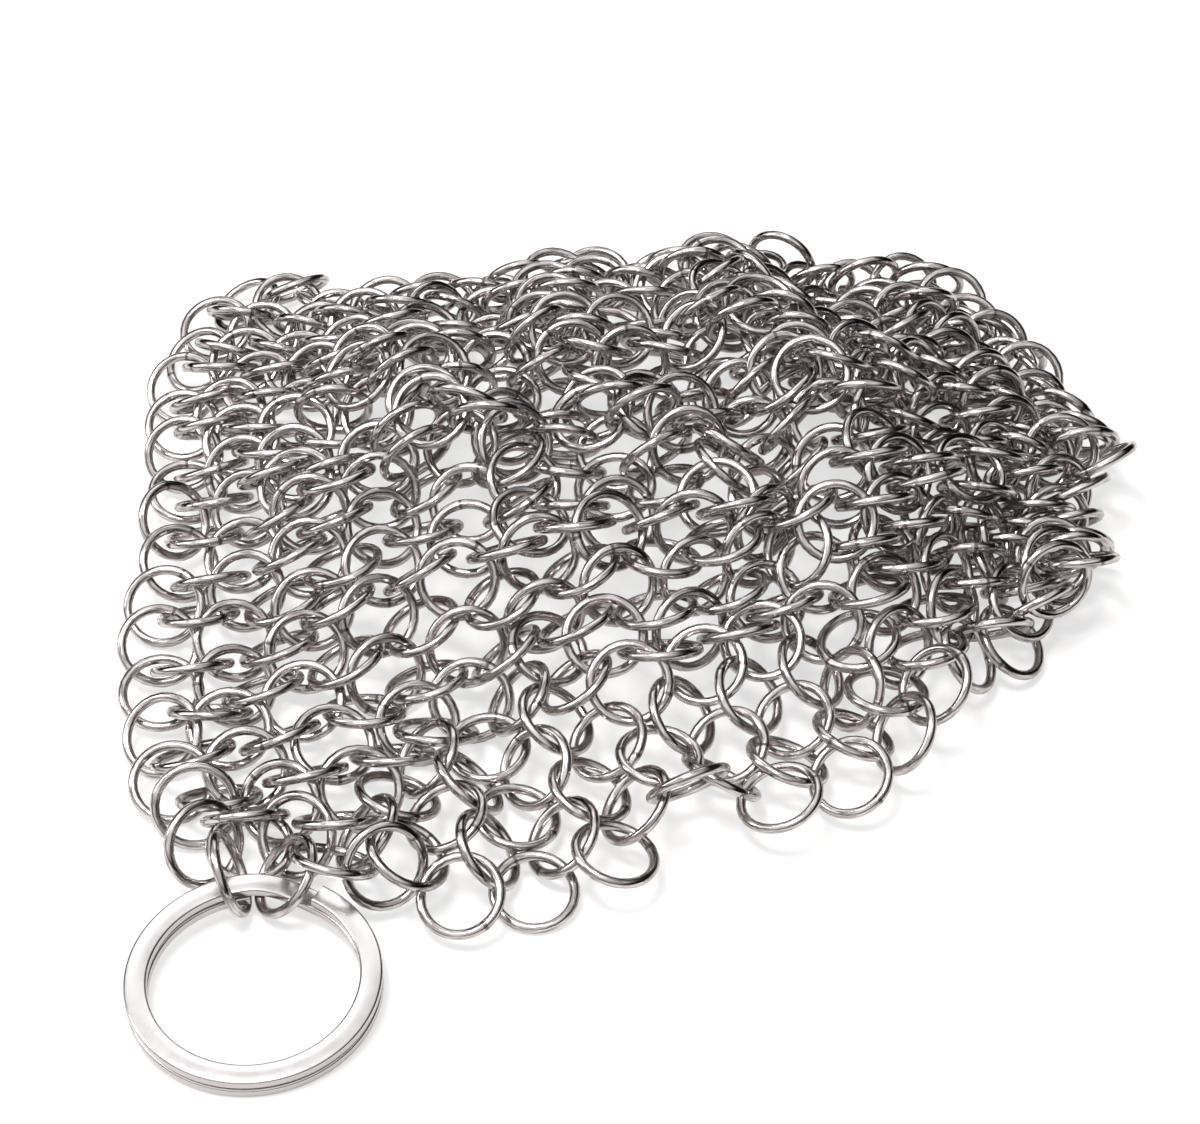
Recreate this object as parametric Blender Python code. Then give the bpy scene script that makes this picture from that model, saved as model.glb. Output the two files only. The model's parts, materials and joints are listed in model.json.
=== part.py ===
"""A chainmail scrubber: a sheet of round steel rings, up to four linked through each one, lying in a
loose folded heap on a flat surface, with a flat split ring through two rings of its front left corner.

The heap is worked out in two steps. An even flat weave is led towards the folded shape of a cloth, and
after each small move all wires are eased apart, so that they stay clear of each other and every link
holds. The hem rings, three rings of the left edge and the split ring are single pieces, each with its
origin on the line it swings about. The other rings are too many for a node each, so they are joined at
their touching points into patches of neighbouring rings.
"""
import math

import bmesh
import bpy
import numpy as np
from mathutils import Matrix, Vector

MM = 0.001

# Rings of the mail
WIRE = 1.2 * MM
RING_BORE = 8.0 * MM
WIRE_CLEARANCE = 0.25 * MM
EASING_CLEARANCE = 0.31 * MM
LINK_SLACK = 0.45 * MM
EASING_MARGIN = 0.03 * MM
LARGEST_MOVE = 0.8 * MM
NEAR_REACH = 0.96 * MM
CLEAR_SHARE = 1.4
JAM_SHARE = 0.25
STRETCH_SHARE = 0.08
RINGS_ACROSS = 14
RING_ROWS = 34

# Split ring: a flat strip wound in two turns
KEY_RING_DIAMETER = 28.0 * MM
KEY_STRIP_WIDTH = 2.5 * MM
KEY_STRIP_THICKNESS = 1.15 * MM
KEY_TURN_GAP = 0.35 * MM
KEY_RING_TILT = math.radians(4.5)
KEY_RAMP = math.radians(36)
KEY_RAMP_PLACE = math.radians(169)
KEY_ROOM_SHARE = 0.9

# Plan of the heap, its corner near the split ring at the front left
HEAP_WIDTH = 114.0 * MM
HEAP_DEPTH = 114.0 * MM
FRONT_SHARES = [(-.32, -.5), (-.16, -.565), (0, -.56), (.12, -.5), (.25, -.415), (.335, -.3),
                (.39, -.2), (.44, -.08)]
BACK_SHARES = [(-.39, .445), (-.245, .42), (-.105, .455), (.07, .475), (.22, .445), (.34, .37)]
LEFT_SHARES = [(-.32, -.5), (-.41, -.43), (-.455, -.265), (-.455, -.015), (-.475, .175), (-.465, .335),
               (-.39, .445)]
RIGHT_SHARES = [(.44, -.08), (.49, .025), (.51, .15), (.45, .27), (.34, .37)]

# Folds of the heap
MOUND_CENTRE = (4.0 * MM, 10.0 * MM)
MOUND_RADII = (50.0 * MM, 42.0 * MM)
MOUND_HEIGHT = 7.0 * MM
MOUND_POWER = 1.5
FOLD_CENTRE = (6.0 * MM, 10.0 * MM)
FOLD_RADII = (46.0 * MM, 37.0 * MM)
FOLD_HEIGHT = 11.0 * MM
FOLD_POWER = 2.5
FOLD_SPACING = 19.0 * MM
FOLD_SLANT = 0.4
FOLD_BEND = 7.0 * MM
FOLD_BEND_LENGTH = 17.0 * MM
FOLD_LEAN = 5.0 * MM
FOLD_START = 3.0 * MM
CROSS_FOLD_HEIGHT = 6.0 * MM
CROSS_FOLD_SPACING = 25.0 * MM
CROSS_FOLD_BEND = 5.0 * MM
CROSS_FOLD_BEND_LENGTH = 13.0 * MM
RIDGE_LENGTH = 14.0 * MM
RIDGE_LEVEL_SHARE = 0.8
RIDGE_WAVE_SHARE = 0.3
RIDGE_START = 5
SHEET_REST = 3.0 * MM
DRAPE_EDGE = -26.0 * MM
SIDE_EDGE = -38.0 * MM
EDGE_SOFTNESS = 4.0 * MM
DRAPE_DENSITY_SHARE = 0.6
SIDE_WIDENING_SHARE = 0.016
PLAN_LINES = 61
PLAN_STEPS = 241
OUTLINE_STEPS = 20
SMOOTHING_ROUNDS = 8

# Even weave that the heap is led from
WEAVE_ACROSS_SHARE = 0.846
WEAVE_ROW_SHARE = 0.317
WEAVE_TILT = math.radians(40)
WEAVE_SHINGLE = math.radians(15)
WEAVE_HEIGHT = 40.0 * MM

# Looseness of the lie, as shares of the wire and in radians
SEED = 5
LIE_SHARES = (0.5, 0.5, 0.9)
LIE_TILT = 0.3

# Moves that fold the weave, and the easing between and after them
MOVES = 240
FOLDED_SHARE = 0.75
LATE_SHARE = 0.8
PULL_SHARE = 0.25
LATE_PULL_SHARE = 0.08
MOVE_EASING_STEPS = 3
LONG_EASING_STEPS = 2000
ROUND_EASING_STEPS = 300
EASING_ROUNDS = 8
FULL_STRENGTH = 1.3
GENTLE_STRENGTH = 0.7

# Single pieces and patches
CARRIER_RINGS = 2
CARRIER_HEIGHT = SHEET_REST * 1.5
EDGE_RING_ROWS = (4, 14, 18)
PATCH_COLUMNS = 2
PATCH_ROW_STARTS = (1, 6, 11, 16, 22, 28)

# Facets of a ring and of its wire, and of one turn of the split ring
PATCH_RING_FACETS = 8
PATCH_WIRE_SIDES = 3
SINGLE_RING_FACETS = 12
SINGLE_WIRE_SIDES = 4
KEY_TURN_FACETS = 24
SHARP_ANGLE = math.radians(50)

# Bridges that join the rings of a patch
BRIDGE_TRIES = 90
BRIDGE_CLEARANCE = 0.3 * MM
BRIDGE_LEVEL_SHARES = np.array([0.2, 0.4, 0.6, 0.8])
FACING_SHARE = 0.3
LEAN_SHARE = 0.4
AWRY_WEIGHT = 2
CROWDING_WEIGHT = 200

# Swing of the single pieces
SWING_SPREAD = math.radians(40)
SWING_TRIES = 7
SWING_STEP = math.radians(3)
SWING_STEPS = 25
SWING_CLEARANCE = 0.1 * MM

# Steel of the mail and of the split ring
MAIL_STEEL_COLOUR = (0.62, 0.6, 0.57)
MAIL_STEEL_ROUGHNESS = 0.22
KEY_STEEL_COLOUR = (0.72, 0.71, 0.7)
KEY_STEEL_ROUGHNESS = 0.18

# How upright a normal may be before its side directions are taken from X in place of Z
UPRIGHT_SHARE = 0.9

RING_RADIUS = (RING_BORE + WIRE) / 2
RING_OUTSIDE = RING_BORE + 2 * WIRE
KEY_RADIUS = (KEY_RING_DIAMETER - KEY_STRIP_WIDTH) / 2
KEY_HALF_STACK = KEY_STRIP_THICKNESS + KEY_TURN_GAP / 2
KEY_HALF_SECTION = KEY_ROOM_SHARE * math.hypot(KEY_STRIP_WIDTH / 2, KEY_HALF_STACK)
MOVE_CLEARANCE = WIRE_CLEARANCE / 3


def unit(vectors):
    """The vectors at length one."""
    return vectors / np.linalg.norm(vectors, axis=-1, keepdims=True)


def turned(vectors, turns):
    """The vectors turned by rotation vectors."""
    angle = np.linalg.norm(turns, axis=1, keepdims=True)
    axis = turns / np.maximum(angle, 1e-12)
    along = axis * (axis * vectors).sum(-1, keepdims=True)
    return (vectors * np.cos(angle) + np.cross(axis, vectors) * np.sin(angle)
            + along * (1 - np.cos(angle)))


class Rings:
    """Circles of wire: centres, normals, radii, half thicknesses, and how freely each one moves."""

    def __init__(self, centre, normal, radius, half, free):
        self.centre = centre
        self.normal = unit(normal)
        self.radius = radius
        self.half = half
        self.free = free

    def on_circle(self, which, points):
        """The points of the circles that lie nearest to the given points."""
        centre = self.centre[which]
        normal = self.normal[which]
        radius = self.radius[which]
        if points.ndim == 3:
            centre, normal, radius = centre[:, None], normal[:, None], radius[:, None]
        offset = points - centre
        offset = offset - (offset * normal).sum(-1, keepdims=True) * normal
        reach = np.maximum(np.linalg.norm(offset, axis=-1, keepdims=True), RING_RADIUS * 1e-6)
        return centre + radius[..., None] * offset / reach

    def nearest(self, first, second, samples=12):
        """The nearest points of pairs of circles, found from samples round the first."""
        angle = np.arange(samples) * 2 * math.pi / samples
        up = np.where(np.abs(self.normal[:, [2]]) < UPRIGHT_SHARE, [[0, 0, 1.0]], [[1.0, 0, 0]])
        side = unit(np.cross(up, self.normal))
        other = np.cross(self.normal, side)
        spokes = np.cos(angle)[:, None] * side[:, None] + np.sin(angle)[:, None] * other[:, None]
        points = (self.centre[:, None] + self.radius[:, None, None] * spokes)[first]
        facing = self.on_circle(second, points)
        best = ((points - facing) ** 2).sum(-1).argmin(1)
        row = np.arange(len(first))
        return self.closed_in(first, second, facing[row, best], 6)

    def closed_in(self, first, second, facing, rounds):
        """Nearest points of the pairs, closed in on from points near the second circles."""
        for _ in range(rounds):
            points = self.on_circle(first, facing)
            facing = self.on_circle(second, points)
        return points, facing

    def linked(self, first, second):
        """Whether the second circle passes once through the disc of the first."""
        centre_a, normal_a = self.centre[first], self.normal[first]
        centre_b, normal_b = self.centre[second], self.normal[second]
        line = np.cross(normal_a, normal_b)
        line = line / np.maximum(np.linalg.norm(line, axis=1, keepdims=True), 1e-9)
        height = ((centre_b - centre_a) * normal_a).sum(-1)
        slope = normal_a - (normal_a * normal_b).sum(-1, keepdims=True) * normal_b
        foot = centre_b - slope * (height / np.maximum((slope * slope).sum(-1), 1e-12))[:, None]
        half_chord = self.radius[second] ** 2 - ((foot - centre_b) ** 2).sum(-1)
        chord = np.sqrt(np.maximum(half_chord, 0))[:, None] * line
        limit = self.radius[first] ** 2
        ahead = ((foot + chord - centre_a) ** 2).sum(-1) < limit
        behind = ((foot - chord - centre_a) ** 2).sum(-1) < limit
        return (half_chord > 0) & (ahead != behind)

    def near_pairs(self, is_link, reach):
        """Pairs that come near each other, and every linked pair."""
        size = self.radius + self.half
        apart = np.linalg.norm(self.centre[:, None] - self.centre[None], axis=-1)
        near = (apart < size[:, None] + size[None] + reach) | is_link
        return np.nonzero(np.triu(near, 1))

    def lift(self):
        """Raise and tilt rings whose lowest point lies under the floor."""
        down = self.normal[:, [2]] * self.normal - np.array([0, 0, 1.0])
        steep = np.maximum(np.linalg.norm(down, axis=1, keepdims=True), 1e-9)
        arm = self.radius[:, None] * down / steep
        sunk = np.maximum(self.half - self.centre[:, 2] - arm[:, 2], 0) * self.free
        lever = np.cross(arm, np.broadcast_to([0, 0, 1.0], arm.shape))
        share = sunk / (1 + 2 * (lever ** 2).sum(-1) / self.radius ** 2)
        self.centre[:, 2] += share
        self.normal = unit(turned(self.normal, (2 / self.radius ** 2 * share)[:, None] * lever))

    def ease_apart(self, links, steps, gap, floor=True, strength=FULL_STRENGTH, refresh=8,
                   until_clear=False):
        """Move and tilt rings until wires are clear and links hold loosely; returns rings that jam."""
        count = len(self.centre)
        is_link = np.zeros((count, count), bool)
        is_link[links[:, 0], links[:, 1]] = True
        is_link |= is_link.T
        for step in range(steps):
            if step % refresh == 0:
                first, second = self.near_pairs(is_link, gap + NEAR_REACH)
                link = is_link[first, second]
                need = self.half[first] + self.half[second] + gap
                near_a, near_b = self.nearest(first, second)
                wrong = self.linked(first, second) != link
            else:
                facing = near_b + (self.centre - before)[second]
                near_a, near_b = self.closed_in(first, second, facing, 2)
            before = self.centre.copy()
            between = near_a - near_b
            apart = np.linalg.norm(between, axis=1)
            away = between / np.maximum(apart, RING_RADIUS * 1e-6)[:, None]
            away = np.where(wrong[:, None], -away, away)
            short = np.clip(need + EASING_MARGIN - np.where(wrong, -apart, apart), 0, LARGEST_MOVE)
            if until_clear and step % refresh == 0 and short.max() < CLEAR_SHARE * EASING_MARGIN:
                break
            slack = np.maximum(apart - need - LINK_SLACK, 0)
            stretched = np.where(link & ~wrong, slack * STRETCH_SHARE, 0)
            push = np.where(short > 0, short, -stretched)
            moved = push != 0
            self.shift(first[moved], second[moved], near_a[moved], near_b[moved], away[moved],
                       push[moved], strength)
            if floor:
                self.lift()
        jammed = short > EASING_MARGIN + JAM_SHARE * gap
        return np.unique(np.r_[first[jammed], second[jammed]])

    def shift(self, first, second, near_a, near_b, away, push, strength):
        """Share pushes between pairs of rings, as moves and as tilts."""
        count = len(self.centre)
        lever_a = np.cross(near_a - self.centre[first], away)
        lever_b = np.cross(near_b - self.centre[second], away)
        ease_a = 2 / self.radius[first] ** 2
        ease_b = 2 / self.radius[second] ** 2
        give = ((1 + ease_a * (lever_a ** 2).sum(-1)) * self.free[first]
                + (1 + ease_b * (lever_b ** 2).sum(-1)) * self.free[second])
        push = push / np.maximum(give, 1e-9)
        part_a = np.c_[push[:, None] * away, (ease_a * push)[:, None] * lever_a, np.ones(len(push))]
        part_b = np.c_[-push[:, None] * away, -(ease_b * push)[:, None] * lever_b, np.ones(len(push))]
        total = np.stack([np.bincount(first, part_a[:, k], count)
                          + np.bincount(second, part_b[:, k], count) for k in range(7)], 1)
        scale = (strength / np.sqrt(np.maximum(total[:, 6], 1)) * self.free)[:, None]
        self.centre = self.centre + total[:, :3] * scale
        self.normal = unit(turned(self.normal, total[:, 3:6] * scale))


def smooth_line(shares, at):
    """Points of a smooth line through an outline's points, at shares of its length."""
    corners = np.array(shares) * [HEAP_WIDTH, HEAP_DEPTH]
    corners = np.vstack([2 * corners[0] - corners[1], corners, 2 * corners[-1] - corners[-2]])
    step = np.linspace(0, 1, OUTLINE_STEPS, endpoint=False)[:, None]
    fine = []
    for a, b, c, d in zip(corners, corners[1:], corners[2:], corners[3:]):
        fine.append((2 * b + (c - a) * step + (2 * a - 5 * b + 4 * c - d) * step ** 2
                     + (3 * b - a - 3 * c + d) * step ** 3) / 2)
    fine = np.vstack(fine + [corners[-2][None]])
    length = np.r_[0, np.cumsum(np.linalg.norm(np.diff(fine, axis=0), axis=1))]
    return np.stack([np.interp(at, length / length[-1], fine[:, k]) for k in (0, 1)], -1)


def plan(across, along):
    """Plan position on the sheet, between the four lines of its outline."""
    front, back = smooth_line(FRONT_SHARES, across), smooth_line(BACK_SHARES, across)
    left, right = smooth_line(LEFT_SHARES, along), smooth_line(RIGHT_SHARES, along)
    size = [HEAP_WIDTH, HEAP_DEPTH]
    front_left, front_right = np.array(FRONT_SHARES[0]) * size, np.array(FRONT_SHARES[-1]) * size
    back_left, back_right = np.array(BACK_SHARES[0]) * size, np.array(BACK_SHARES[-1]) * size
    u, v = across[:, None], along[:, None]
    corners = ((1 - u) * (1 - v) * front_left + u * (1 - v) * front_right
               + (1 - u) * v * back_left + u * v * back_right)
    return (1 - v) * front + v * back + (1 - u) * left + u * right - corners


def rounded(x, y, centre, radii, power):
    """A value that is one inside an ellipse and falls to nothing outside it."""
    reach = ((x - centre[0]) / radii[0]) ** 2 + ((y - centre[1]) / radii[1]) ** 2
    return np.exp(-reach ** power)


def cloth(across, along):
    """Point on the folded cloth that the heap follows."""
    x, y = plan(across, along).T
    inside = rounded(x, y, FOLD_CENTRE, FOLD_RADII, FOLD_POWER)
    mound = MOUND_HEIGHT * rounded(x, y, MOUND_CENTRE, MOUND_RADII, MOUND_POWER)
    phase = 2 * math.pi / FOLD_SPACING * (
        y - FOLD_SLANT * x + FOLD_BEND * np.sin(x / FOLD_BEND_LENGTH) + FOLD_START)
    cross = 2 * math.pi / CROSS_FOLD_SPACING * (
        x + y / 2 + CROSS_FOLD_BEND * np.sin(y / CROSS_FOLD_BEND_LENGTH))
    wave = np.sin(x / RIDGE_LENGTH + RIDGE_START)
    ridge = FOLD_HEIGHT * (RIDGE_LEVEL_SHARE + RIDGE_WAVE_SHARE * wave)
    height = SHEET_REST + mound + inside * (
        ridge * (1 - np.cos(phase)) / 2 + CROSS_FOLD_HEIGHT * (1 - np.cos(cross)) / 2)
    x = x + CROSS_FOLD_HEIGHT / 2 * inside * np.sin(cross)
    y = y + FOLD_LEAN * inside * np.sin(phase)
    return np.stack([x, y, height], -1)


def settled_places(column, row):
    """Place of each ring on the cloth, its rows even in length, and wider apart in the drape."""
    lines = np.linspace(0, 1, PLAN_LINES)
    steps = np.linspace(0, 1, PLAN_STEPS)
    grid = np.meshgrid(lines, steps, indexing="ij")
    points = cloth(grid[0].ravel(), grid[1].ravel()).reshape(len(lines), len(steps), 3)
    middle = (points[:, 1:] + points[:, :-1]) / 2
    in_heap = (1 / (1 + np.exp((DRAPE_EDGE - middle[..., 1]) / EDGE_SOFTNESS))
               / (1 + np.exp((SIDE_EDGE - middle[..., 0]) / EDGE_SOFTNESS)))
    density = DRAPE_DENSITY_SHARE + (1 - DRAPE_DENSITY_SHARE) * in_heap
    length = np.linalg.norm(np.diff(points, axis=1), axis=-1) * density
    share = np.c_[np.zeros(len(lines)), np.cumsum(length, 1)]
    share /= share[:, -1:]
    for _ in range(SMOOTHING_ROUNDS):
        share[1:-1] = (share[:-2] + 2 * share[1:-1] + share[2:]) / 4
    across = (column + 0.5 * (row % 2)) / (RINGS_ACROSS - 0.5)
    across = across - SIDE_WIDENING_SHARE * np.sin(2 * math.pi * across)
    along = row / (RING_ROWS - 1)
    line = np.clip((across * (len(lines) - 1)).astype(int), 0, len(lines) - 2)
    part = across * (len(lines) - 1) - line
    on_left = np.array([np.interp(a, share[k], steps) for a, k in zip(along, line)])
    on_right = np.array([np.interp(a, share[k + 1], steps) for a, k in zip(along, line)])
    return cloth(across, (1 - part) * on_left + part * on_right)


def ring_index(column, row):
    """Number of a ring from its column and row."""
    return column * RING_ROWS + row


def weave_links():
    """Pairs of rings that pass through each other, four through each inner ring."""
    links = []
    for row in range(RING_ROWS - 1):
        side = -1 if row % 2 == 0 else 1
        for column in range(RINGS_ACROSS):
            for other in (column, column + side):
                if 0 <= other < RINGS_ACROSS:
                    links.append((ring_index(column, row), ring_index(other, row + 1)))
    return np.array(links)


def flat_weave(column, row):
    """The even flat weave: rows lean by turns forwards and back, and each ring overlaps the next."""
    across = (column + 0.5 * (row % 2) - RINGS_ACROSS / 2) * WEAVE_ACROSS_SHARE * RING_OUTSIDE
    along = (row - RING_ROWS / 2) * WEAVE_ROW_SHARE * RING_OUTSIDE
    centre = np.stack([across, along, np.full(len(row), WEAVE_HEIGHT)], -1)
    lean = np.where(row % 2 == 0, -1, 1) * WEAVE_TILT
    normal = np.stack([0 * lean, np.sin(lean), np.cos(lean)], -1)
    return centre, turned(normal, np.tile([[0, WEAVE_SHINGLE, 0]], (len(row), 1)))


def key_ring_place():
    """Centre and normal of the split ring, its far side raised by the wires that pass under it."""
    corner = np.array(FRONT_SHARES[0]) * [HEAP_WIDTH, HEAP_DEPTH]
    rise = KEY_RING_DIAMETER / 2 * math.sin(KEY_RING_TILT) + KEY_HALF_STACK
    centre = [corner[0] - WIRE, corner[1] - KEY_RADIUS - 2 * WIRE, rise]
    return np.array(centre), np.array([0, -math.sin(KEY_RING_TILT), math.cos(KEY_RING_TILT)])


def lay_heap():
    """The rings of the heap with the split ring last, and all linked pairs."""
    column, row = (grid.ravel() for grid in np.meshgrid(
        np.arange(RINGS_ACROSS), np.arange(RING_ROWS), indexing="ij"))
    links = weave_links()
    flat, normal = flat_weave(column, row)
    chance = np.random.default_rng(SEED)
    places = settled_places(column, row)
    places = places + chance.normal(0, 1, places.shape) * np.array(LIE_SHARES) * WIRE
    normal = turned(normal, chance.normal(0, LIE_TILT, normal.shape))
    key_centre, key_normal = key_ring_place()
    for number in range(CARRIER_RINGS):
        aside = (number - (CARRIER_RINGS - 1) / 2) * RING_BORE
        places[ring_index(number, 0)] = [key_centre[0] + aside, key_centre[1] + KEY_RADIUS, CARRIER_HEIGHT]
    count = len(row)
    rings = Rings(flat.copy(), normal, np.full(count, RING_RADIUS), np.full(count, WIRE / 2),
                  np.ones(count))
    for move in range(MOVES):
        done = min(1, (move + 1) / (FOLDED_SHARE * MOVES))
        done = done * done * (3 - 2 * done)
        late = move >= LATE_SHARE * MOVES
        goal = flat * (1 - done) + places * done
        rings.centre += (goal - rings.centre) * (LATE_PULL_SHARE if late else PULL_SHARE)
        gap = MOVE_CLEARANCE if late else -MOVE_CLEARANCE
        rings.ease_apart(links, MOVE_EASING_STEPS, gap, floor=move > MOVES / 2)
    links = np.vstack([links, [[ring_index(k, 0), count] for k in range(CARRIER_RINGS)]])
    rings = Rings(np.vstack([rings.centre, key_centre]), np.vstack([rings.normal, key_normal]),
                  np.append(rings.radius, KEY_RADIUS), np.append(rings.half, KEY_HALF_SECTION),
                  np.append(rings.free, 0.0))
    rings.ease_apart(links, LONG_EASING_STEPS, EASING_CLEARANCE)
    for _ in range(EASING_ROUNDS):
        jammed = rings.ease_apart(links, ROUND_EASING_STEPS, WIRE_CLEARANCE, strength=GENTLE_STRENGTH,
                                  refresh=4, until_clear=True)
        if len(jammed) == 0:
            break
        nudge = chance.normal(0, 1, (2, len(jammed), 3)) * rings.free[jammed][:, None]
        rings.centre[jammed] += nudge[0] * WIRE / 2
        rings.normal[jammed] = unit(turned(rings.normal[jammed], nudge[1] * LIE_TILT))
    return rings, links


def contacts(rings, number, links):
    """Points of one ring that lie nearest to the rings it is linked with."""
    others = np.array([b if a == number else a for a, b in links if number in (a, b)])
    points, _ = rings.nearest(np.full(len(others), number), others)
    return points


def facing_phase(rings, number, links, facets):
    """Turn of a faceted ring about its normal that puts the middles of its facets at its contacts."""
    side, other = ring_axes(rings.normal[number])
    arm = contacts(rings, number, links) - rings.centre[number]
    angle = np.arctan2(arm @ other, arm @ side)
    return np.angle(-np.exp(1j * facets * angle).sum()) / facets


def ring_axes(normal):
    """Two directions square to a ring's normal and to each other."""
    up = np.array([0, 0, 1.0]) if abs(normal[2]) < UPRIGHT_SHARE else np.array([1.0, 0, 0])
    side = unit(np.cross(up, normal))
    return side, np.cross(normal, side)


def swept_loop(facets, sides):
    """Vertices and quads of a faceted ring about Z, its wire with a corner outwards."""
    half_facet = math.pi / facets
    corner_radius = RING_RADIUS * 2 / (1 + math.cos(half_facet))
    vertices = []
    for k in range(facets):
        turn = 2 * math.pi * k / facets
        for s in range(sides):
            round_wire = 2 * math.pi * s / sides
            reach = corner_radius + WIRE / 2 * math.cos(round_wire)
            vertices.append((reach * math.cos(turn), reach * math.sin(turn),
                             WIRE / 2 * math.sin(round_wire)))
    quads = []
    for k in range(facets):
        ahead = (k + 1) % facets
        for s in range(sides):
            beside = (s + 1) % sides
            quads.append((k * sides + s, ahead * sides + s, ahead * sides + beside, k * sides + beside))
    return np.array(vertices), quads


def placed_ring(rings, number, links, facets, sides):
    """Vertices of a ring in its place, and its quads."""
    vertices, quads = swept_loop(facets, sides)
    phase = facing_phase(rings, number, links, facets)
    side, other = ring_axes(rings.normal[number])
    spin = np.array([[math.cos(phase), -math.sin(phase), 0], [math.sin(phase), math.cos(phase), 0],
                     [0, 0, 1]])
    frame = np.stack([side, other, rings.normal[number]], 1) @ spin
    return vertices @ frame.T + rings.centre[number], quads


def quad_middles(vertices, quads):
    """Middles and outward normals of the quads of one ring."""
    corners = vertices[np.array(quads)]
    normal = unit(np.cross(corners[:, 2] - corners[:, 0], corners[:, 3] - corners[:, 1]))
    return corners.mean(1), normal


def facing_quads(vertices, quads_a, quads_b):
    """Pairs of quads of two rings, the nearest that face each other first, and their costs."""
    middle_a, normal_a = quad_middles(vertices, quads_a)
    middle_b, normal_b = quad_middles(vertices, quads_b)
    between = middle_b[None] - middle_a[:, None]
    apart = np.linalg.norm(between, axis=-1)
    facing_a = (between * normal_a[:, None]).sum(-1) / apart
    facing_b = -(between * normal_b[None]).sum(-1) / apart
    worse = np.minimum(facing_a, facing_b)
    cost = apart * (1 + AWRY_WEIGHT * (1 - worse)) + np.where(worse < FACING_SHARE, RING_RADIUS, 0)
    order = np.argsort(cost, axis=None)[:BRIDGE_TRIES]
    return [(quads_a[k // len(quads_b)], quads_b[k % len(quads_b)], cost.flat[k]) for k in order]


def least_twist(vertices, face_a, face_b):
    """Corners of the second face in the order that meets the first with the least twist."""
    turns = [[face_b[(turn - k) % 4] for k in range(4)] for turn in range(4)]
    spans = [np.linalg.norm(vertices[list(face_a)] - vertices[turn], axis=1).sum() for turn in turns]
    return tuple(turns[int(np.argmin(spans))])


def crowding(rings, vertices, face_a, face_b, pair):
    """How deep a bridge between two faces would reach into the room of other rings."""
    start, end = vertices[list(face_a)], vertices[list(face_b)]
    lines = start[None] + (end - start)[None] * BRIDGE_LEVEL_SHARES[:, None, None]
    lines = np.concatenate([lines, (lines + np.roll(lines, 1, axis=1)) / 2], axis=1).reshape(-1, 3)
    apart = np.linalg.norm(rings.centre - lines.mean(0), axis=1)
    near = np.nonzero(apart < rings.radius + RING_OUTSIDE)[0]
    near = near[~np.isin(near, pair)]
    points = np.broadcast_to(lines, (len(near), len(lines), 3))
    gap = np.linalg.norm(points - rings.on_circle(near, points), axis=-1) - rings.half[near][:, None]
    return np.maximum(BRIDGE_CLEARANCE - gap, 0).sum()


def leaning(vertices, face_a, face_b):
    """How far the edges of a bridge between two faces lean away from straight ahead of both."""
    start, end = vertices[list(face_a)], vertices[list(face_b)]
    edges = unit(end - start)
    ahead_a = unit(np.cross(start[2] - start[0], start[3] - start[1]))
    ahead_b = unit(np.cross(end[2] - end[0], end[3] - end[1]))
    return np.maximum(LEAN_SHARE - np.stack([edges @ ahead_a, edges @ ahead_b]), 0).sum()


def best_bridge(rings, vertices, quads, pair):
    """The cheapest bridge between two rings: its cost and its two faces."""
    choices = []
    for face_a, face_b, cost in facing_quads(vertices, quads[pair[0]], quads[pair[1]]):
        matched = least_twist(vertices, face_a, face_b)
        cost += CROWDING_WEIGHT * crowding(rings, vertices, face_a, matched, pair)
        cost += WIRE * leaning(vertices, face_a, matched)
        choices.append((cost, face_a, face_b, matched))
    return min(choices)


def patch_mesh(rings, members, links):
    """One closed mesh of linked rings, joined into a tree by bridges where two of them touch."""
    vertices, quads = [], {}
    for number in members:
        points, faces = placed_ring(rings, number, links, PATCH_RING_FACETS, PATCH_WIRE_SIDES)
        quads[number] = [tuple(len(vertices) + k for k in face) for face in faces]
        vertices.extend(points)
    vertices = np.array(vertices)
    inner = [(a, b) for a, b in links.tolist() if a in quads and b in quads]
    inner.sort(key=lambda pair: best_bridge(rings, vertices, quads, pair)[0])
    group = {number: number for number in members}
    bridges = []
    for a, b in inner:
        if group[a] == group[b]:
            continue
        old, new = group[a], group[b]
        group = {k: new if g == old else g for k, g in group.items()}
        _, face_a, face_b, matched = best_bridge(rings, vertices, quads, (a, b))
        quads[a].remove(face_a)
        quads[b].remove(face_b)
        bridges.extend((face_a[k], face_a[(k + 1) % 4], matched[(k + 1) % 4], matched[k])
                       for k in range(4))
    return vertices, [face for faces in quads.values() for face in faces] + bridges


def key_ring_mesh():
    """Vertices and quads of a flat strip wound in two turns, with a short climb between them."""
    start = KEY_RAMP / 2
    count = 2 * KEY_TURN_FACETS
    lift = KEY_STRIP_THICKNESS + KEY_TURN_GAP
    vertices = []
    for k in range(count + 1):
        angle = start + (4 * math.pi - 2 * start) * k / count
        climb = min(1, max(0, (angle - 2 * math.pi + KEY_RAMP / 2) / KEY_RAMP))
        middle = lift * (climb - 0.5)
        for inward, up in ((1, -1), (1, 1), (-1, 1), (-1, -1)):
            reach = KEY_RADIUS + inward * KEY_STRIP_WIDTH / 2
            turn = angle + KEY_RAMP_PLACE
            vertices.append((reach * math.cos(turn), reach * math.sin(turn),
                             middle + up * KEY_STRIP_THICKNESS / 2))
    quads = [(3, 2, 1, 0)]
    for k in range(count):
        for s in range(4):
            beside = (s + 1) % 4
            quads.append((4 * k + s, 4 * k + beside, 4 * (k + 1) + beside, 4 * (k + 1) + s))
    quads.append(tuple(4 * count + s for s in range(4)))
    return np.array(vertices), quads


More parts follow.
